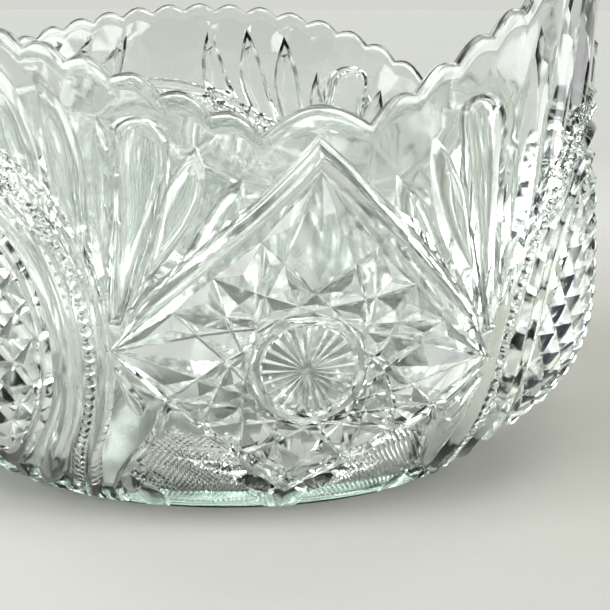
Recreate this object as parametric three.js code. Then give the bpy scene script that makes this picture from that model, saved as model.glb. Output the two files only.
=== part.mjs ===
// Punch bowl: one piece of thick pressed glass with a flat base, a round heel, an upright
// wall and a scalloped rim that rises in three waves. Millimetres, +Z up, origin at the
// centre of the flat base.

import * as THREE from 'three';

// Driving dimensions
const RIM_RADIUS = 166;          // outer radius of the wall below the rim
const LOW_HEIGHT = 147.5;        // lowest point of the wave that the rim's notches follow
const CREST_HEIGHTS = [218, 198, 198];   // notches at the top of each wave
const BASE_RADIUS = 113;         // flat resting face
const WALL = 6;                  // wall thickness at the rim
const HEEL_WALL = 9;             // wall thickness where wall and base meet
const FLOOR = 11;                // thickness of the bottom

// Rim pattern: each third of the rim has one broad point over its low part, then a run of
// equal scallops over the wave. The waves lean towards one low point, and one stands highest.
const THIRDS = 3;
const SCALLOPS = 17;             // in each third
const SCALLOP_ANGLE = 6.22;      // degrees of rim for one scallop
const SCALLOP_DEPTH = 4;
const POINT_DEPTH = 9;           // the broad point rises this far above its notches
const CREST_ANGLES = [46, 54, 54];       // degrees from a low point to the crest after it
const RISE_POWERS = [1.2, 2.2, 2.2];     // how roundly each wave climbs to its crest
const FALL_POWER = 1.8;          // and how roundly it falls away
const STEPS_PER_SCALLOP = 3;
const STEPS_PER_POINT = 6;
const WALL_ROWS = 10;
const FLOOR_ROWS = 3;

const THIRD_ANGLE = 360 / THIRDS;
const POINT_ANGLE = THIRD_ANGLE - SCALLOPS * SCALLOP_ANGLE;

// Half section of the outer wall as (radius, height), from the base edge to the crests: a
// steep heel that turns into an almost upright wall.
const OUTER_SECTION = new THREE.SplineCurve([
  new THREE.Vector2(BASE_RADIUS, 0),
  new THREE.Vector2(126, 10),
  new THREE.Vector2(139, 20.5),
  new THREE.Vector2(158.5, 40),
  new THREE.Vector2(167.5, 60),
  new THREE.Vector2(169.5, 85),
  new THREE.Vector2(168, 120),
  new THREE.Vector2(RIM_RADIUS, 160),
  new THREE.Vector2(RIM_RADIUS, CREST_HEIGHTS[0] + SCALLOP_DEPTH),
]);
const SECTION_SAMPLES = OUTER_SECTION.getPoints(160);

// Outer radius at a height, read off the section by linear interpolation.
function outerRadius(height) {
  const next = SECTION_SAMPLES.findIndex((point) => point.y >= height);
  if (next < 1) {
    return next === 0 ? BASE_RADIUS : SECTION_SAMPLES.at(-1).x;
  }
  const low = SECTION_SAMPLES[next - 1];
  const high = SECTION_SAMPLES[next];
  return THREE.MathUtils.mapLinear(height, low.y, high.y, low.x, high.x);
}

// Angles round the rim, in degrees from a low point, with a step on every notch.
function rimAngles() {
  const angles = [];
  for (let third = 0; third < THIRDS; third += 1) {
    const start = third * THIRD_ANGLE - POINT_ANGLE / 2;
    for (let i = 0; i < STEPS_PER_POINT; i += 1) {
      angles.push(start + (i * POINT_ANGLE) / STEPS_PER_POINT);
    }
    for (let i = 0; i < SCALLOPS * STEPS_PER_SCALLOP; i += 1) {
      angles.push(start + POINT_ANGLE + (i * SCALLOP_ANGLE) / STEPS_PER_SCALLOP);
    }
  }
  return angles;
}

// Height of the wave that the notches follow, at an angle from the first low point.
function waveHeight(angle) {
  const around = THREE.MathUtils.euclideanModulo(angle, 360);
  const wave = Math.floor(around / THIRD_ANGLE);
  const past = around - wave * THIRD_ANGLE;
  const crest = CREST_ANGLES[wave];
  const drop = past < crest
    ? (1 - past / crest) ** RISE_POWERS[wave]
    : ((past - crest) / (THIRD_ANGLE - crest)) ** FALL_POWER;
  return THREE.MathUtils.lerp(CREST_HEIGHTS[wave], LOW_HEIGHT, drop);
}

// Rim height at an angle: the wave, plus the round scallop or point that stands on it.
function rimHeight(angle) {
  const half = POINT_ANGLE / 2;
  const fromLow = THREE.MathUtils.euclideanModulo(angle + half, THIRD_ANGLE) - half;
  if (fromLow <= half) {
    const low = angle - fromLow;
    const notches = [waveHeight(low - half), waveHeight(low + half)];
    const level = THREE.MathUtils.mapLinear(fromLow, -half, half, ...notches);
    return level + POINT_DEPTH * Math.cos((Math.PI * fromLow) / POINT_ANGLE);
  }
  const along = ((fromLow - half) % SCALLOP_ANGLE) / SCALLOP_ANGLE;
  return waveHeight(angle) + SCALLOP_DEPTH * Math.sin(Math.PI * along);
}

// One column of points from the middle of the base, up the outside, over the rim and down
// the inside to the middle of the floor. The two poles are left out.
function columnSection(angle) {
  const top = rimHeight(angle);
  const column = [new THREE.Vector2(BASE_RADIUS * 0.55, 0)];
  for (let i = 0; i <= WALL_ROWS; i += 1) {
    const share = i / WALL_ROWS;
    const height = top * share ** 1.3;
    column.push(new THREE.Vector2(outerRadius(height), height));
  }
  for (let i = WALL_ROWS; i >= 0; i -= 1) {
    const share = i / WALL_ROWS;
    const height = THREE.MathUtils.lerp(FLOOR + 1.5, top, share ** 1.3);
    const thickness = THREE.MathUtils.lerp(HEEL_WALL, WALL, share);
    column.push(new THREE.Vector2(outerRadius(height) - thickness, height));
  }
  for (let i = 1; i < FLOOR_ROWS; i += 1) {
    const radius = (BASE_RADIUS + 8) * (1 - i / FLOOR_ROWS);
    column.push(new THREE.Vector2(radius, FLOOR));
  }
  return column;
}

// A closed skin swept round the axis, with a fan of triangles at each pole.
function bowlGeometry() {
  const angles = rimAngles();
  const columns = angles.map(columnSection);
  const rows = columns[0].length;
  const positions = [0, 0, 0, 0, 0, FLOOR];
  columns.forEach((column, i) => {
    const turn = THREE.MathUtils.degToRad(angles[i] - 90);
    column.forEach((point) => {
      positions.push(point.x * Math.cos(turn), point.x * Math.sin(turn), point.y);
    });
  });
  const vertex = (column, row) => 2 + (column % columns.length) * rows + row;
  const triangles = [];
  for (let i = 0; i < columns.length; i += 1) {
    triangles.push(0, vertex(i + 1, 0), vertex(i, 0));
    for (let row = 0; row < rows - 1; row += 1) {
      triangles.push(vertex(i, row), vertex(i + 1, row), vertex(i + 1, row + 1));
      triangles.push(vertex(i, row), vertex(i + 1, row + 1), vertex(i, row + 1));
    }
    triangles.push(1, vertex(i, rows - 1), vertex(i + 1, rows - 1));
  }
  const geometry = new THREE.BufferGeometry();
  geometry.setAttribute('position', new THREE.Float32BufferAttribute(positions, 3));
  geometry.setIndex(triangles);
  geometry.computeVertexNormals();
  return geometry;
}

const clearGlass = new THREE.MeshStandardMaterial({
  color: 0xe3ece6,
  roughness: 0.05,
  metalness: 0,
  transparent: true,
  opacity: 0.4,
});

const bowl = new THREE.Mesh(bowlGeometry(), clearGlass);
bowl.name = 'bowl';

const punchBowl = new THREE.Group();
punchBowl.add(bowl);

export default punchBowl;
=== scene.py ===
# Looks of the pressed-glass punch bowl: one closed mesh of clear glass, whose outer skin
# carries the relief (star, fans, beaded arches, stipple) as real geometry, on a pale cloth.
#
# The relief is drawn once, for half of one third of the bowl, as creases on a flat plan: x runs
# along the wall from a low point of the rim to the middle of an arch, z is the height, and
# each point has a depth, plus for outwards. The creases are triangulated, laid on the wall,
# mirrored and turned round the axis. Drawing units are millimetres and degrees.

import math

import bpy

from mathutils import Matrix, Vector
from mathutils.geometry import delaunay_2d_cdt


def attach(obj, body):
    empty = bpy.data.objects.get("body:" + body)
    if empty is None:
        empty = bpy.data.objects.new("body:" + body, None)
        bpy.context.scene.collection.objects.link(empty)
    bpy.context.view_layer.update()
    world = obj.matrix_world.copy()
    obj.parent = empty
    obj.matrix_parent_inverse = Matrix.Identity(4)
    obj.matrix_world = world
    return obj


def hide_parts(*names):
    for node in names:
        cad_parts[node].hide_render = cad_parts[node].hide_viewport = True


MM = 0.001

# The wall
SECTION = [
    (113, 0), (126, 10), (139, 20.5), (158.5, 40), (167.5, 60),
    (169.5, 85), (168, 120), (166, 160), (166, 222),
]
LOW_HEIGHT = 147.5
WAVES = [(218, 46, 1.2), (198, 54, 2.2), (198, 54, 2.2)]   # crest height, its angle, climb power
EVEN_WAVE = 1                     # the wave that the drawing's rim is made from
FALL_POWER = 1.8
SCALLOPS = 17
SCALLOP_ANGLE = 6.22
SCALLOP_DEPTH = 4
POINT_DEPTH = 9
WALL = 5.2
HEEL_WALL = 9
FLOOR = 11
LIP = 3.0
THIRD = 120
HALF_POINT = (THIRD - SCALLOPS * SCALLOP_ANGLE) / 2
SCALE = 2.88                      # millimetres along the wall for one degree
EDGE = 60 * SCALE                 # x of the middle of an arch

# The drawing
CENTRE = (0, 71)                  # of the star
TIPS = [      # angle and height of the star's points, clockwise from the top, as a fit gave them
    (0, 144.5), (7.6, 117.9), (13.4, 103.3), (18.2, 89.4), (25.6, 73.3),
    (18.7, 54.4), (14.1, 42.9), (8.4, 28.0), (0, 15.8),
]
RING_RADIUS = 21.5
GROOVE = -3.2
STAR_CUT = (0.64, 1.6, 0.6, 1.0)  # slope and cap of a facet, width and rise of its steep foot
CROSS_CUT = (0.6, 1.4, 0.7, 1.0)
ARCH_RADIUS = 91                  # of the bead row
ARCH_HEIGHT = 60                  # of the arch's centre
ARCH_LOWER = 66                   # the lower half of the arch is squashed to this radius
SLEW_RISE = 5.0
SLEW_SHIFT = 0.02
STAR_SHIFT = 1.0                  # the middle of the star stands this many degrees to the left


def lerp(a, b, share):
    return a + (b - a) * share


def smooth(share):
    share = min(1, max(0, share))
    return share * share * (3 - 2 * share)


# ---------------------------------------------------------------- the wall's form

def spline_samples(points, count):
    """Points of a Catmull-Rom curve through the section."""
    samples = []
    last = len(points) - 1
    for i in range(count + 1):
        place = last * i / count
        k = min(int(place), last - 1)
        t = place - k
        near = [points[max(0, k - 1)], points[k], points[k + 1], points[min(last, k + 2)]]
        sample = []
        for axis in (0, 1):
            p0, p1, p2, p3 = (p[axis] for p in near)
            v0 = (p2 - p0) / 2
            v1 = (p3 - p1) / 2
            sample.append(
                (2 * p1 - 2 * p2 + v0 + v1) * t ** 3
                + (-3 * p1 + 3 * p2 - 2 * v0 - v1) * t ** 2 + v0 * t + p1
            )
        samples.append(sample)
    return samples


SECTION_SAMPLES = spline_samples(SECTION, 160)


def outer_radius(height):
    """Radius of the outer wall at a height, without the relief."""
    for low, high in zip(SECTION_SAMPLES, SECTION_SAMPLES[1:]):
        if height <= high[1]:
            return lerp(low[0], high[0], (height - low[1]) / (high[1] - low[1]))
    return SECTION_SAMPLES[-1][0]


def wave_height(angle, wave=None):
    """Height that the rim's notches follow, at an angle round the whole bowl."""
    crest, crest_angle, rise_power = WAVES[int(angle % 360 // THIRD) if wave is None else wave]
    past = angle % THIRD
    if past < crest_angle:
        drop = (1 - past / crest_angle) ** rise_power
    else:
        drop = ((past - crest_angle) / (THIRD - crest_angle)) ** FALL_POWER
    return lerp(crest, LOW_HEIGHT, drop)


def even_rim(angle):
    """Rim height of the drawing: the same on both sides of a low point."""
    angle = abs(angle)
    side = max(angle, HALF_POINT)
    level = (wave_height(side, EVEN_WAVE) + wave_height(-side, EVEN_WAVE)) / 2
    if angle < HALF_POINT:
        return level + POINT_DEPTH * math.cos(math.pi / 2 * angle / HALF_POINT)
    along = ((angle - HALF_POINT) % SCALLOP_ANGLE) / SCALLOP_ANGLE
    return level + SCALLOP_DEPTH * math.sin(math.pi * along)


def lean(angle, third):
    """How far the bowl's rim stands above the drawing's."""
    def above(local):
        side = max(abs(local), HALF_POINT)
        level = (wave_height(side, EVEN_WAVE) + wave_height(-side, EVEN_WAVE)) / 2
        return wave_height(local + third * THIRD) - level

    if abs(angle) >= HALF_POINT:
        return above(angle)
    return lerp(above(-HALF_POINT), above(HALF_POINT), 0.5 + angle / HALF_POINT / 2)


def lay(angle, height, third):
    """Where a drawn point comes on the wall: stretched to the leaning rim, and the whole
    pattern turned slightly clockwise between base and rim."""
    top = even_rim(angle)
    share = min(1, height / top)
    rise = lean(angle, third)
    height += rise * share ** 3
    top += rise
    fade = smooth(height / 30) * smooth((top - LIP - height) / 40)
    turn = SLEW_SHIFT * (height - 80)
    turn -= STAR_SHIFT * math.exp(-((height - 71) / 32) ** 2 - (angle / 14) ** 2)
    return angle + turn * fade, height - SLEW_RISE * math.sin(math.radians(3 * angle)) * fade


def on_wall(angle, height, depth):
    """A point at an angle and height, with its depth measured square to the wall."""
    above = height + 0.5
    below = max(0, height - 0.5)
    slope = (outer_radius(above) - outer_radius(below)) / (above - below)
    size = math.hypot(1, slope)
    radius = outer_radius(height) + depth / size
    turn = math.radians(angle)
    level = height - depth * slope / size
    return Vector((radius * math.sin(turn), -radius * math.cos(turn), level)) * MM


# ---------------------------------------------------------------- drawing creases

class Drawing:
    """Points of the flat plan with their depths, and the creases between them. Where creases
    share a point, the deeper one counts."""

    def __init__(self):
        self.points = []
        self.depths = []
        self.known = {}
        self.edges = set()

    def point(self, x, z, depth):
        key = (round(x, 2), round(z, 2))
        if key not in self.known:
            self.known[key] = len(self.points)
            self.points.append(key)
            self.depths.append(depth)
        elif depth is not None:
            i = self.known[key]
            old = self.depths[i]
            self.depths[i] = depth if old is None else min(old, depth)
        return self.known[key]

    def line(self, path, closed=False):
        ids = [self.point(*p) for p in path]
        following = ids[1:] + ids[:1] if closed else ids[1:]
        for a, b in zip(ids, following):
            if a != b:
                self.edges.add((min(a, b), max(a, b)))

    def outline(self, polygon, depth):
        self.line([(x, z, depth) for x, z in polygon], closed=True)

    def near(self, polygon):
        """Whether any of a polygon lies on or just beside the half cell."""
        return any(-6 < x < EDGE + 6 for x, _ in polygon)


def edge_distance(point, polygon):
    """Distance to the nearest side of a convex polygon, negative outside."""
    nearest = 1e9
    turning = area(polygon)
    for (ax, az), (bx, bz) in zip(polygon, polygon[1:] + polygon[:1]):
        length = math.hypot(bx - ax, bz - az)
        if length < 1e-6:
            continue
        side = ((bx - ax) * (point[1] - az) - (bz - az) * (point[0] - ax)) / length
        nearest = min(nearest, side if turning > 0 else -side)
    return nearest


def area(polygon):
    return sum(ax * bz - bx * az for (ax, az), (bx, bz) in zip(polygon, polygon[1:] + polygon[:1])) / 2


def inmost(polygon):
    """The point of a convex polygon that is furthest from its sides, and that distance."""
    best = (sum(p[0] for p in polygon) / len(polygon), sum(p[1] for p in polygon) / len(polygon))
    reach = edge_distance(best, polygon)
    step = math.sqrt(abs(area(polygon))) / 3
    while step > 0.05:
        moved = False
        for k in range(8):
            turn = math.pi / 4 * k
            trial = (best[0] + step * math.cos(turn), best[1] + step * math.sin(turn))
            if edge_distance(trial, polygon) > reach + 1e-6:
                best = trial
                reach = edge_distance(trial, polygon)
                moved = True
        if not moved:
            step /= 2
    return best, reach


def pyramid(drawing, polygon, floor, slope, cap, wall=0, step=0):
    """A faceted point between grooves, whose walls may be steep and narrow at first."""
    if not drawing.near(polygon):
        return
    drawing.outline(polygon, floor)
    tip, reach = inmost(polygon)
    if reach < 0.5:
        return
    shrink = min(0.5, wall / reach)
    ledge_depth = floor
    ledge = polygon
    if shrink > 0:
        ledge_depth += step * shrink * reach / wall
        ledge = [(lerp(x, tip[0], shrink), lerp(z, tip[1], shrink)) for x, z in polygon]
        drawing.outline(ledge, ledge_depth)
    height = min(cap, ledge_depth + slope * (1 - shrink) * reach)
    for (x, z), (lx, lz) in zip(polygon, ledge):
        drawing.line([(x, z, floor), (lx, lz, ledge_depth), (*tip, height)])


def clip(polygon, border):
    """The part of a polygon inside a convex, anticlockwise border."""
    for (ax, az), (bx, bz) in zip(border, border[1:] + border[:1]):
        kept = []
        sides = [(bx - ax) * (z - az) - (bz - az) * (x - ax) for x, z in polygon]
        for i, (x, z) in enumerate(polygon):
            x2, z2 = polygon[(i + 1) % len(polygon)]
            s1, s2 = sides[i], sides[(i + 1) % len(polygon)]
            if s1 >= 0:
                kept.append((x, z))
            if s1 * s2 < 0:
                kept.append((lerp(x, x2, s1 / (s1 - s2)), lerp(z, z2, s1 / (s1 - s2))))
        polygon = kept
        if len(polygon) < 3:
            return []
    return polygon


def inside(point, polygon):
    """Whether a point lies in a polygon of any shape."""
    odd = False
    for (ax, az), (bx, bz) in zip(polygon, polygon[1:] + polygon[:1]):
        if (az > point[1]) != (bz > point[1]):
            if point[0] < lerp(ax, bx, (point[1] - az) / (bz - az)):
                odd = not odd
    return odd


# ---------------------------------------------------------------- the star panel

def star_vertex(i):
    i %= 16
    angle, height = TIPS[i] if i <= 8 else TIPS[16 - i]
    return (angle * SCALE if i <= 8 else -angle * SCALE, height)


def crossing(a, b):
    """Where the cuts a and b of the star cross. Cut i runs from point i to point i + 6."""
    (x1, z1), (x2, z2) = star_vertex(a), star_vertex(a + 6)
    (x3, z3), (x4, z4) = star_vertex(b), star_vertex(b + 6)
    below = (x1 - x2) * (z3 - z4) - (z1 - z2) * (x3 - x4)
    first = x1 * z2 - z1 * x2
    second = x3 * z4 - z3 * x4
    return (
        (first * (x3 - x4) - (x1 - x2) * second) / below,
        (first * (z3 - z4) - (z1 - z2) * second) / below,
    )


INNER = [crossing(a, a + 1) for a in range(16)]


def star_point(a, level):
    """A crossing of the star, pulled in a little so that the cuts graze the ring."""
    a %= 16
    if level >= 6:
        return star_vertex(a + 6)
    x, z = crossing(a, a + level)
    dx, dz = x - CENTRE[0], z - CENTRE[1]
    turn = math.atan2(dz, dx)

    def apart(p):
        other = math.atan2(p[1] - CENTRE[1], p[0] - CENTRE[0])
        return abs(math.remainder(other - turn, math.tau))

    near = min(INNER, key=apart)
    reach = math.hypot(near[0] - CENTRE[0], near[1] - CENTRE[1])
    pull = (1, 1, 0.7, 0.4, 0.15, 0)[level]
    scale = 1 + ((RING_RADIUS + 1.2) / reach - 1) * pull
    return (CENTRE[0] + dx * scale, CENTRE[1] + dz * scale)


def circle(centre, radius, count, depth, phase=0):
    points = []
    for i in range(count):
        turn = math.tau * (i + phase) / count
        points.append((centre[0] + radius * math.cos(turn), centre[1] + radius * math.sin(turn), depth))
    return points


def draw_star(drawing):
    for a in range(16):
        for level in range(1, 6):
            cell = [star_point(a, level + 1), star_point(a, level)]
            if level > 1:
                cell.append(star_point(a + 1, level - 1))
            cell.append(star_point(a + 1, level))
            pyramid(drawing, cell, GROOVE, *STAR_CUT)
        # a half-sunk facet between two points of the star
        notch = [star_vertex(a + 6), star_vertex(a + 7), star_point(a + 1, 5)]
        pyramid(drawing, notch, GROOVE, 0.6, -0.6)
    for radius, depth in ((21.6, GROOVE), (20.6, -0.9), (18.6, -0.8), (17.6, -2.4)):
        drawing.line(circle(CENTRE, radius, 48, depth), closed=True)
    for i in range(48):
        turn = math.tau * i / 48
        ridge = i % 2 == 0
        drawing.line([
            (CENTRE[0] + r * math.cos(turn), CENTRE[1] + r * math.sin(turn), depth)
            for r, depth in ((2.2, -1.9), (17.0, 0.0 if ridge else -2.9))
        ])


def side_path(offset, lower=False):
    """A line beside one side of the star panel, from the side corner to the middle."""
    (cx, cz) = star_vertex(4)
    (ex, ez) = star_vertex(8) if lower else star_vertex(0)
    length = math.hypot(ex - cx, ez - cz)
    along = ((ex - cx) / length, (ez - cz) / length)
    out = (along[1], -along[0]) if not lower else (-along[1], along[0])
    count = 26
    path = []
    for i in range(count + 1):
        s = -0.5 + (length + 10) * i / count
        taper = 0.12 + 0.88 * smooth(s / 26)
        beside = offset * taper
        path.append((cx + along[0] * s + out[0] * beside, cz + along[1] * s + out[1] * beside))
    return path


def rib(start, end, floor, crown):
    """Offsets and depths of the lines that make a round rib between two grooves."""
    return [
        (lerp(start, end, share), lerp(floor, crown, math.sin(math.pi * share)))
        for share in (0, 0.12, 0.28, 0.5, 0.72, 0.88, 1)
    ]


def draw_panel_border(drawing):
    for offset, depth in rib(0.2, 6.4, -2.8, 1.0) + rib(6.4, 9.2, -2.2, -0.5):
        drawing.line([(x, z, depth) for x, z in side_path(offset) if x > -4])
    for offset, depth in ((0.1, -2.6), (0.8, 0.0), (2.0, 0.1), (2.8, -2.2)):
        drawing.line([(x, z, depth) for x, z in side_path(offset, True) if x > -4 and z > 2])


# ---------------------------------------------------------------- the arch

def arch_point(turn, offset):
    """A point beside the bead row. The turn runs from 0 at the top down to the leg."""
    lower = math.cos(turn) < 0
    x = ARCH_RADIUS * math.sin(turn)
    z = (ARCH_LOWER if lower else ARCH_RADIUS) * math.cos(turn)
    nx = math.sin(turn)
    nz = math.cos(turn) * (ARCH_RADIUS / ARCH_LOWER if lower else 1)
    size = math.hypot(nx, nz)
    return (EDGE - x - nx / size * offset, ARCH_HEIGHT + z + nz / size * offset)


def arch_path(offset, step=3.4, lowest=1.6):
    path = []
    turn = -0.12
    while turn < 3.0:
        point = arch_point(turn, offset)
        if point[1] < lowest:
            break
        path.append(point)
        turn += step / (ARCH_RADIUS + offset)
    return path


def draw_arch(drawing):
    bands = rib(2.5, 8.9, -2.0, 1.1) + [(-2.5, -2.0), (-3.4, -2.5)]
    bands += rib(-4.3, -11.8, -2.0, 1.5) + [(-13.7, -2.5)] + rib(-15.6, -20.4, -2.2, 0.8)
    for offset, depth in bands:
        drawing.line([(x, z, depth) for x, z in arch_path(offset)])
    # beads
    pitch = 5.0
    turn = pitch / 2 / ARCH_RADIUS
    while True:
        x, z = arch_point(turn, 0)
        if z < 5:
            break
        for radius, depth in ((2.15, -1.6), (1.55, 0.5)):
            drawing.line(circle((x, z), radius, 8, depth, turn), closed=True)
        drawing.point(x, z, 1.3)
        turn += pitch / ARCH_RADIUS
    # crossed cuts inside
    border = [p for p in arch_path(-21.2, 6) if p[0] < EDGE - 2]
    border += [(2 * EDGE - x, z) for x, z in reversed(border)]
    if area(border) < 0:
        border.reverse()
    size = 12.6
    for i in range(-9, 10):
        for k in range(-9, 10):
            cx = EDGE + (i - k) * size * 0.66
            cz = ARCH_HEIGHT + 6 + (i + k) * size * 0.75
            cell = [
                (cx, cz - size * 0.75), (cx + size * 0.66, cz),
                (cx, cz + size * 0.75), (cx - size * 0.66, cz),
            ]
            cell = clip(cell, border)
            if len(cell) > 2 and abs(area(cell)) > 4:
                pyramid(drawing, cell, -2.8, *CROSS_CUT)


# ---------------------------------------------------------------- flutes

# Nested outlines of a flute as (share of its width, depth)
PILLOW = ((1, -2.8), (0.83, -0.9), (0.56, 0.7), (0.28, 1.4))
SCOOP = ((1.34, 0.1), (1.2, -1.8), (1, 1.0), (0.86, -0.9), (0.62, -2.1), (0.32, -2.7))
LOW_PILLOW = ((1, -3.0), (0.87, -1.4), (0.62, -0.1), (0.32, 0.6))

def flute_width(share, length, width, round_top, fat):
    """Half width of a flute at a share of its length: a leaf, or a thumb with a round top."""
    if round_top:
        across = min(1, 0.16 + 0.84 * share / fat)
        cap = (share - (1 - width / length)) / (width / length)
        return width * across * (math.sqrt(max(0, 1 - cap * cap)) if cap > 0 else 1)
    if share > fat:
        across = math.cos(math.pi / 2 * (share - fat) / (1 - fat)) ** 0.85
    else:
        across = math.sin(math.pi / 2 * min(1, 0.08 + 0.92 * share / fat))
    return width * across * min(1, 0.3 + share / fat)


def flute(drawing, start, end, width, bend=0, round_top=False, profile=PILLOW, crown=1.6, fat=0.72):
    """A flute from a point near the corner to its tip: nested outlines, each with its share of
    the full width and its depth, round a middle line at the crown's depth."""
    dx, dz = end[0] - start[0], end[1] - start[1]
    length = math.hypot(dx, dz)
    ux, uz = dx / length, dz / length
    count = max(8, int(length / 5))
    shares = [i / count for i in range(count + 1)]
    if round_top:
        straight = 1 - width / length
        shares = [straight * i / count for i in range(count)]
        shares += [straight + width / length * math.sin(math.pi / 16 * i) for i in range(9)]

    def place(along):
        sway = bend * math.sin(math.pi * along)
        return start[0] + dx * along + uz * sway, start[1] + dz * along - ux * sway

    for size, depth in profile:
        shrink = (1 - size) * width / length if round_top else (1 - size) * 0.5
        left, right = [], []
        for share in shares:
            px, pz = place(0.5 + (share - 0.5) * (1 - shrink))
            half = flute_width(share, length, width, round_top, fat) * size
            left.append((px - uz * half, pz + ux * half, depth))
            right.append((px + uz * half, pz - ux * half, depth))
        path = left + right[::-1]
        tidy = [path[0]]
        for point in path[1:]:
            if math.hypot(point[0] - tidy[-1][0], point[1] - tidy[-1][1]) > 0.25:
                tidy.append(point)
        drawing.line(tidy, closed=True)
    drawing.line([(*place(lerp(0.12, 0.88, i / count)), crown) for i in range(count + 1)])


def draw_fan(drawing):
    corner = star_vertex(4)

    def from_corner(reach, tip):
        tip = (tip[0] * SCALE, tip[1])
        length = math.hypot(tip[0] - corner[0], tip[1] - corner[1])
        share = reach / length
        return (lerp(corner[0], tip[0], share), lerp(corner[1], tip[1], share)), tip

    leaves = (                    # where it starts, tip angle and height, half width, bend
        (30, (10.0, 142), 5.6, -2.6),
        (18, (15.6, 154), 6.8, -1.6),
        (14, (28.8, 164), 5.0, 0.8),
        (20, (36.4, 181), 7.2, 2.4),
        (30, (44.2, 185), 7.2, 4.8),
        (46, (51.8, 185), 7.2, 8.8),
    )
    for reach, tip, width, bend in leaves:
        start, end = from_corner(reach, tip)
        flute(drawing, start, end, width, bend)
    start, end = from_corner(12, (22.6, 164))
    flute(drawing, start, end, 8.6, 0, True, SCOOP, -2.9)


# ---------------------------------------------------------------- below the corner

def draw_foot(drawing):
    corner = star_vertex(4)
    # a short drop under the corner
    flute(drawing, (corner[0] - 1.5, 67), (21.6 * SCALE, 47.5), 3.2, 0, True, LOW_PILLOW, 0.8)
    # a curved rib from the panel's side to the foot of the arch
    rib = []
    for i in range(15):
        s = i / 14
        rib.append((lerp(18.6, 34.5, s ** 1.5) * SCALE, lerp(50.5, 4.5, s ** 0.92)))
    for offset, depth in ((-2.2, -1.9), (-1.2, 0.3), (0.6, 0.7), (2.0, -0.2), (2.9, -1.9)):
        drawing.line([(x + offset, z - offset * 0.35, depth) for x, z in rib if z - offset * 0.35 > 1.6])
    # leaves along the bottom
    flute(drawing, (9.8 * SCALE, 19.5), (1.8 * SCALE, 9.5), 3.6, 0, False, LOW_PILLOW, 0.8, 0.5)
    flute(drawing, (15.6 * SCALE, 26.5), (7.0 * SCALE, 21.0), 2.4, 0, False, LOW_PILLOW, 0.7, 0.5)
    flute(drawing, (32.5 * SCALE, 4.5), (25.0 * SCALE, 14.0), 3.6, 0, False, LOW_PILLOW, 0.8, 0.5)
    # stipple between rib, panel and base
    corners = [                   # angle and height
        (17.2, 47), (8.0, 23.5), (12.0, 19), (10.4, 17), (2.4, 5.5),
        (2.4, 1.8), (24.0, 1.8), (23.8, 12), (27.4, 13.5), (23.6, 27),
    ]
    field = [(angle * SCALE, z) for angle, z in corners]
    pitch = 3.0
    for i in range(-30, 40):
        for k in range(-30, 40):
            cx = 50 + (i - k) * pitch / 2
            cz = 20 + (i + k) * pitch / 2 * 0.8
            cell = [
                (cx, cz - pitch * 0.4), (cx + pitch / 2, cz),
                (cx, cz + pitch * 0.4), (cx - pitch / 2, cz),
            ]
            if all(inside(p, field) for p in cell):
                pyramid(drawing, cell, -1.5, 0.9, 0.6)


# ---------------------------------------------------------------- the half cell as a mesh

def rim_angles():
    """Angles of the rim's points from a low point to the middle of an arch."""
    angles = [HALF_POINT * i / 5 for i in range(5)]
    steps = 6
    i = 0
    while HALF_POINT + SCALLOP_ANGLE * i / steps < 60 - 1e-6:
        angles.append(HALF_POINT + SCALLOP_ANGLE * i / steps)
        i += 1
    return angles + [60]


def half_cell():
    """The drawing as triangles: plan points, their depths and the faces inside the outline."""
    drawing = Drawing()
    draw_star(drawing)
    draw_panel_border(drawing)
    draw_arch(drawing)
    draw_fan(drawing)
    draw_foot(drawing)
    rim = [(angle * SCALE, even_rim(angle) - LIP) for angle in rim_angles()]
    drawing.line([(x, z, 0) for x, z in rim])
    for below, depth in ((1.6, 0.25), (3.6, 0.3), (5.6, 0)):
        drawing.line([(x, z - below, depth) for x, z in rim])
    drawing.line([(EDGE * i / 60, 0, 0) for i in range(61)])
    drawing.line([(0, 0, None), (0, rim[0][1], None)])
    drawing.line([(EDGE, 0, None), (EDGE, rim[-1][1], None)])
    points = [Vector(p) for p in drawing.points]
    edges = [e for e in sorted(drawing.edges) if any(-8 < drawing.points[i][0] < EDGE + 8 for i in e)]
    made, made_edges, faces, from_points, from_edges, _ = delaunay_2d_cdt(points, edges, [], 0, 1e-4)
    depths = []
    for sources in from_points:
        known = [drawing.depths[i] for i in sources if drawing.depths[i] is not None]
        depths.append(min(known) if known else None)
    fresh = [not sources for sources in from_points]
    for (a, b), sources in zip(made_edges, from_edges):
        for end in (a, b):
            if not fresh[end]:
                continue
            for source in sources:
                if source >= len(edges):
                    continue
                i, k = edges[source]
                if drawing.depths[i] is None or drawing.depths[k] is None:
                    continue
                whole = (points[k] - points[i]).length
                share = (made[end] - points[i]).length / whole if whole > 0 else 0
                depth = lerp(drawing.depths[i], drawing.depths[k], min(1, share))
                depths[end] = depth if depths[end] is None else min(depths[end], depth)

    def rim_at(x):
        for (x1, z1), (x2, z2) in zip(rim, rim[1:]):
            if x <= x2 + 1e-6:
                return lerp(z1, z2, (x - x1) / (x2 - x1))
        return rim[-1][1]

    kept = []
    for face in faces:
        x = sum(made[i][0] for i in face) / 3
        z = sum(made[i][1] for i in face) / 3
        if 0 < x < EDGE and 0 < z < rim_at(x):
            kept.append(face)
    return made, [0 if d is None else d for d in depths], kept


def pull_in(point, inward, up):
    """A point moved towards the axis and up."""
    reach = math.hypot(point.x, point.y)
    share = (reach - inward * MM) / reach
    return Vector((point.x * share, point.y * share, point.z + up * MM))


def moved_to(point, radius, height):
    """A point moved to a radius and a height, on the same side of the axis."""
    reach = math.hypot(point.x, point.y)
    return Vector((point.x / reach * radius * MM, point.y / reach * radius * MM, height * MM))


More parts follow.
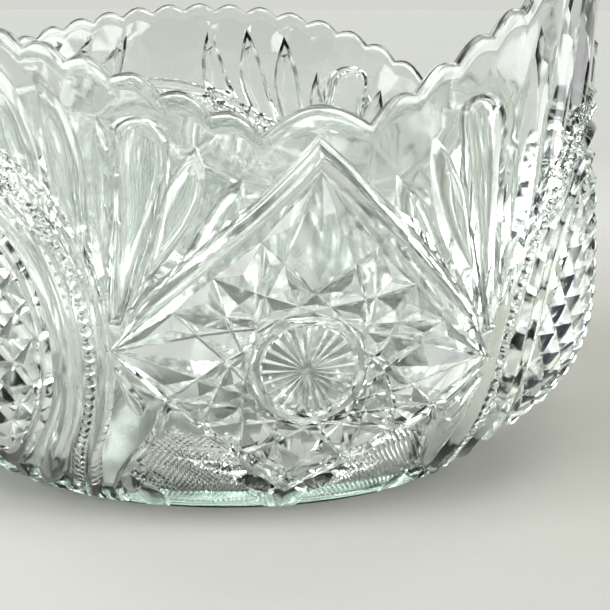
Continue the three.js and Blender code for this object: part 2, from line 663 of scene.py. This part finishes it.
def build_bowl():
    """The whole closed mesh: the half cell six times, then the lip, the inside and the base."""
    plan, depths, faces = half_cell()
    used = sorted({i for face in faces for i in face})
    vertices = []
    triangles = []
    welded = {}
    rim_loop = {}
    base_loop = {}
    rim_low = {round(angle * SCALE, 2): angle for angle in rim_angles()}
    for third in range(3):
        for side in (1, -1):
            index = {}
            for i in used:
                x, z = plan[i]
                angle = x / SCALE
                low = z < 0.02
                key = round(x, 2)
                high = key in rim_low and abs(z - (even_rim(rim_low[key]) - LIP)) < 0.02
                depth = 0 if low or high else depths[i]
                turned, height = lay(side * angle, max(0, z), third)
                turned += third * THIRD
                place = on_wall(turned, height, depth)
                weld = tuple(round(c, 5) for c in place)
                if weld not in welded:
                    welded[weld] = len(vertices)
                    vertices.append(place)
                index[i] = welded[weld]
                around = round(turned % 360, 3) % 360
                if high:
                    rim_loop[around] = welded[weld]
                if low:
                    base_loop[around] = welded[weld]
            for a, b, c in faces:
                corners = (index[a], index[b], index[c])
                if len(set(corners)) == 3:
                    triangles.append(corners if side > 0 else corners[::-1])
    rim = [rim_loop[k] for k in sorted(rim_loop)]
    base = [base_loop[k] for k in sorted(base_loop)]

    def add_loop(points):
        first = len(vertices)
        vertices.extend(points)
        return list(range(first, first + len(points)))

    def bridge(low, high):
        """Faces between two loops with the same count; the first loop is the outer or lower one."""
        for i in range(len(low)):
            k = (i + 1) % len(low)
            triangles.append((low[i], low[k], high[k], high[i]))

    # over the rim and down the inside
    first_inner = len(vertices)
    tops = [vertices[i].copy() for i in rim]
    last = rim
    rows = [
        (WALL / 2 * (1 - math.cos(math.pi * k / 7)), LIP * math.sin(math.pi * k / 7)) for k in range(1, 7)
    ]
    for inward, up in rows:
        loop = add_loop([pull_in(p, inward, up) for p in tops])
        bridge(last, loop)
        last = loop
    steps = 16
    for i in range(steps + 1):
        share = 1 - i / steps
        loop = []
        for p in tops:
            height = lerp(FLOOR + 1.5, p.z / MM, share ** 1.15)
            thickness = lerp(HEEL_WALL, WALL, share)
            loop.append(moved_to(p, outer_radius(height) - thickness, height))
        loop = add_loop(loop)
        bridge(last, loop)
        last = loop
    for radius, height in ((110, FLOOR + 0.3), (100, FLOOR), (60, FLOOR), (20, FLOOR)):
        loop = add_loop([moved_to(p, radius, height) for p in tops])
        bridge(last, loop)
        last = loop
    middle = add_loop([Vector((0, 0, FLOOR * MM))])[0]
    for i in range(len(last)):
        triangles.append((last[i], last[(i + 1) % len(last)], middle))
    # under the base: a resting ring and a shallow recess
    feet = [vertices[i].copy() for i in base]
    last = base
    for radius, height in ((111, 0), (98, 0), (95, 1.2), (50, 1.2), (12, 1.2)):
        loop = add_loop([moved_to(p, radius, height) for p in feet])
        bridge(loop, last)
        last = loop
    middle = add_loop([Vector((0, 0, 1.2 * MM))])[0]
    for i in range(len(last)):
        triangles.append((last[(i + 1) % len(last)], last[i], middle))
    mesh = bpy.data.meshes.new("glass_bowl")
    mesh.from_pydata([tuple(v) for v in vertices], [], triangles)
    inner = mesh.attributes.new("inside", "FLOAT", "POINT")
    for i in range(first_inner, len(vertices)):
        inner.data[i].value = 1
    mesh.validate()
    mesh.update()
    return mesh


# ---------------------------------------------------------------- materials

def node(tree, kind, **inputs):
    made = tree.nodes.new(kind)
    for name, value in inputs.items():
        made.inputs[name.replace("_", " ")].default_value = value
    return made


def glass_material():
    material = bpy.data.materials.new("clear_glass")
    material.use_nodes = True
    tree = material.node_tree
    shader = tree.nodes["Principled BSDF"]
    shader.inputs["Base Color"].default_value = (0.885, 0.918, 0.89, 1)
    shader.inputs["Transmission Weight"].default_value = 1
    shader.inputs["IOR"].default_value = 1.5
    coordinates = tree.nodes.new("ShaderNodeTexCoord")
    # fire-polish waviness and fine chill marks of the pressing
    waves = node(tree, "ShaderNodeTexNoise", Scale=55.0, Detail=2.0)
    marks = node(tree, "ShaderNodeTexNoise", Scale=700.0, Detail=3.0, Roughness=0.6)
    for texture in (waves, marks):
        tree.links.new(coordinates.outputs["Object"], texture.inputs["Vector"])
    soft = node(tree, "ShaderNodeBump", Strength=0.12, Distance=0.0006)
    fine = node(tree, "ShaderNodeBump", Strength=0.08, Distance=0.0001)
    tree.links.new(waves.outputs["Fac"], soft.inputs["Height"])
    tree.links.new(marks.outputs["Fac"], fine.inputs["Height"])
    tree.links.new(soft.outputs["Normal"], fine.inputs["Normal"])
    tree.links.new(fine.outputs["Normal"], shader.inputs["Normal"])
    polish = node(tree, "ShaderNodeMapRange", From_Min=0.35, From_Max=0.75, To_Min=0.01, To_Max=0.05)
    tree.links.new(marks.outputs["Fac"], polish.inputs["Value"])
    # the plunger's side is less bright than the mould's side
    inside_mark = tree.nodes.new("ShaderNodeAttribute")
    inside_mark.attribute_name = "inside"
    duller = node(tree, "ShaderNodeMath")
    duller.operation = "MULTIPLY_ADD"
    duller.inputs[1].default_value = 0.07
    tree.links.new(inside_mark.outputs["Fac"], duller.inputs[0])
    tree.links.new(polish.outputs["Result"], duller.inputs[2])
    tree.links.new(duller.outputs["Value"], shader.inputs["Roughness"])
    volume = tree.nodes.new("ShaderNodeVolumeAbsorption")
    volume.inputs["Color"].default_value = (0.74, 0.93, 0.84, 1)
    volume.inputs["Density"].default_value = 5.0
    tree.links.new(volume.outputs["Volume"], tree.nodes["Material Output"].inputs["Volume"])
    return material


def cloth_material():
    material = bpy.data.materials.new("pale_cloth")
    material.use_nodes = True
    tree = material.node_tree
    shader = tree.nodes["Principled BSDF"]
    shader.inputs["Roughness"].default_value = 0.9
    coordinates = tree.nodes.new("ShaderNodeTexCoord")
    weave = node(tree, "ShaderNodeTexNoise", Scale=900.0, Detail=4.0)
    drift = node(tree, "ShaderNodeTexNoise", Scale=3.0, Detail=3.0)
    for texture in (weave, drift):
        tree.links.new(coordinates.outputs["Object"], texture.inputs["Vector"])
    tone = tree.nodes.new("ShaderNodeValToRGB")
    tone.color_ramp.elements[0].color = (0.278, 0.280, 0.264, 1)
    tone.color_ramp.elements[0].position = 0.3
    tone.color_ramp.elements[1].color = (0.288, 0.290, 0.273, 1)
    tone.color_ramp.elements[1].position = 0.7
    tree.links.new(drift.outputs["Fac"], tone.inputs["Fac"])
    # painted shade: the cloth's colour is darkened far from the bowl and to the right of it, standing in
    # for the fall-off of the light
    colour = tone.outputs["Color"]
    painted_shade_places = (                # centre, distances where it starts and is full, shade
        ((0.42, 0.0, 0.0), 0.6, 0.15, (0.72, 0.71, 0.64, 1)),
        ((0.0, 0.0, 0.0), 0.4, 1.4, (0.80, 0.81, 0.80, 1)),
    )
    for centre, start, full, shade in painted_shade_places:
        away = tree.nodes.new("ShaderNodeVectorMath")
        away.operation = "DISTANCE"
        away.inputs[1].default_value = centre
        tree.links.new(coordinates.outputs["Object"], away.inputs[0])
        share = node(tree, "ShaderNodeMapRange", From_Min=start, From_Max=full)
        tree.links.new(away.outputs["Value"], share.inputs["Value"])
        mix = tree.nodes.new("ShaderNodeMix")
        mix.data_type = "RGBA"
        mix.blend_type = "MULTIPLY"
        tree.links.new(share.outputs["Result"], mix.inputs["Factor"])
        tree.links.new(colour, mix.inputs["A"])
        mix.inputs["B"].default_value = shade
        colour = mix.outputs["Result"]
    tree.links.new(colour, shader.inputs["Base Color"])
    bump = node(tree, "ShaderNodeBump", Strength=0.35, Distance=0.0004)
    tree.links.new(weave.outputs["Fac"], bump.inputs["Height"])
    tree.links.new(bump.outputs["Normal"], shader.inputs["Normal"])
    return material


# ---------------------------------------------------------------- the scene

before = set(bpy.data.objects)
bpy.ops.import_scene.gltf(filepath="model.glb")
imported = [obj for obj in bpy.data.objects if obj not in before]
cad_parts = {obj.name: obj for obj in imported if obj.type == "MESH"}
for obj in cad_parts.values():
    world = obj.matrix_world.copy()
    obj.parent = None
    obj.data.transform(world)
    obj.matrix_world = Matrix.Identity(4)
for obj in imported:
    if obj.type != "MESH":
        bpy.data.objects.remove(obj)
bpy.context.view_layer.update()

bowl_mesh = build_bowl()
bowl = bpy.data.objects.new("bowl_glass", bowl_mesh)
bpy.context.collection.objects.link(bowl)
bowl_mesh.shade_smooth()
bowl_mesh.set_sharp_from_angle(angle=math.radians(27))
bowl_mesh.materials.append(glass_material())
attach(bowl, "root")
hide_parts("bowl")

# Cloth under the bowl
bpy.ops.mesh.primitive_circle_add(vertices=96, radius=30, fill_type="NGON")
floor = bpy.context.object
floor.name = "cloth"
floor.location.z = -0.0002
floor.data.materials.append(cloth_material())

CAMERA_SIDE = 11.51               # degrees round the bowl from the low point

# Studio light: a grey sky with soft bright and dark patches for the glass to mirror and bend
world = bpy.data.worlds.new("studio")
bpy.context.scene.world = world
world.use_nodes = True
tree = world.node_tree
background = tree.nodes["Background"]
coordinates = tree.nodes.new("ShaderNodeTexCoord")


def sky_patch(direction, inner, outer):
    """1 inside a soft round patch of sky about a direction, 0 outside it."""
    dot = tree.nodes.new("ShaderNodeVectorMath")
    dot.operation = "DOT_PRODUCT"
    dot.inputs[1].default_value = Vector(direction).normalized()
    tree.links.new(coordinates.outputs["Generated"], dot.inputs[0])
    patch = tree.nodes.new("ShaderNodeMapRange")
    patch.interpolation_type = "SMOOTHSTEP"
    patch.inputs["From Min"].default_value = math.cos(math.radians(outer))
    patch.inputs["From Max"].default_value = math.cos(math.radians(inner))
    tree.links.new(dot.outputs["Value"], patch.inputs["Value"])
    return patch.outputs["Result"]


def toward(azimuth, elevation):
    """A direction, with azimuth 0 straight behind the bowl as the camera sees it."""
    around = math.radians(azimuth + CAMERA_SIDE)
    up = math.radians(elevation)
    return (math.sin(around) * math.cos(up), math.cos(around) * math.cos(up), math.sin(up))


SKY = (0.22, 0.235, 0.225, 1)
PATCHES = [                       # azimuth, elevation, inner and outer angle, colour
    (0, 0, 32, 52, (0.66, 0.67, 0.635)),
    (180, 30, 40, 60, (0.12, 0.135, 0.13)),
    (0, 42, 16, 30, (1.0, 1.0, 0.99)),
    (0, 90, 18, 34, (1.3, 1.3, 1.28)),
    (100, 8, 16, 21, (7, 7, 7.2)),
    (44, 48, 8, 13, (6, 6, 6)),
    (-50, 34, 10, 16, (5.0, 5.0, 5.0)),
    (124, 30, 17, 24, (10, 10, 10)),
    (-128, 32, 17, 24, (10, 10, 10)),
    (180, 55, 11, 18, (10, 10, 10)),
    (60, 14, 17, 22, (0.004, 0.010, 0.030)),
    (-78, 12, 12, 18, (0.03, 0.045, 0.04)),
]
colour = None
for azimuth, elevation, inner, outer, patch_colour in PATCHES:
    mix = tree.nodes.new("ShaderNodeMix")
    mix.data_type = "RGBA"
    if colour is None:
        mix.inputs["A"].default_value = SKY
    else:
        tree.links.new(colour, mix.inputs["A"])
    mix.inputs["B"].default_value = (*patch_colour, 1)
    tree.links.new(sky_patch(toward(azimuth, elevation), inner, outer), mix.inputs["Factor"])
    colour = mix.outputs["Result"]
tree.links.new(colour, background.inputs["Color"])
background.inputs["Strength"].default_value = 1.0

# Camera
CAMERA_DISTANCE = 0.678
CAMERA_HEIGHT = 0.204
PAN = 0.13
TILT = 11.26
ROLL = -0.1
FOCAL = 2.380213                  # these three in picture widths, from the fit to the photo
SHIFT_RIGHT = 0.124410
SHIFT_UP = -0.027115
camera_data = bpy.data.cameras.new("camera")
camera_data.sensor_width = 36
camera_data.lens = 36 * FOCAL
camera_data.shift_x = SHIFT_RIGHT
camera_data.shift_y = SHIFT_UP
camera = bpy.data.objects.new("camera", camera_data)
bpy.context.collection.objects.link(camera)
round_by = math.radians(CAMERA_SIDE)
camera.location = (
    -CAMERA_DISTANCE * math.sin(round_by),
    -CAMERA_DISTANCE * math.cos(round_by),
    CAMERA_HEIGHT,
)
heading = -round_by - math.radians(PAN)
camera.rotation_euler = (math.radians(90 - TILT), math.radians(ROLL), heading)
bpy.context.scene.camera = camera
bpy.context.scene.view_settings.view_transform = "Standard"
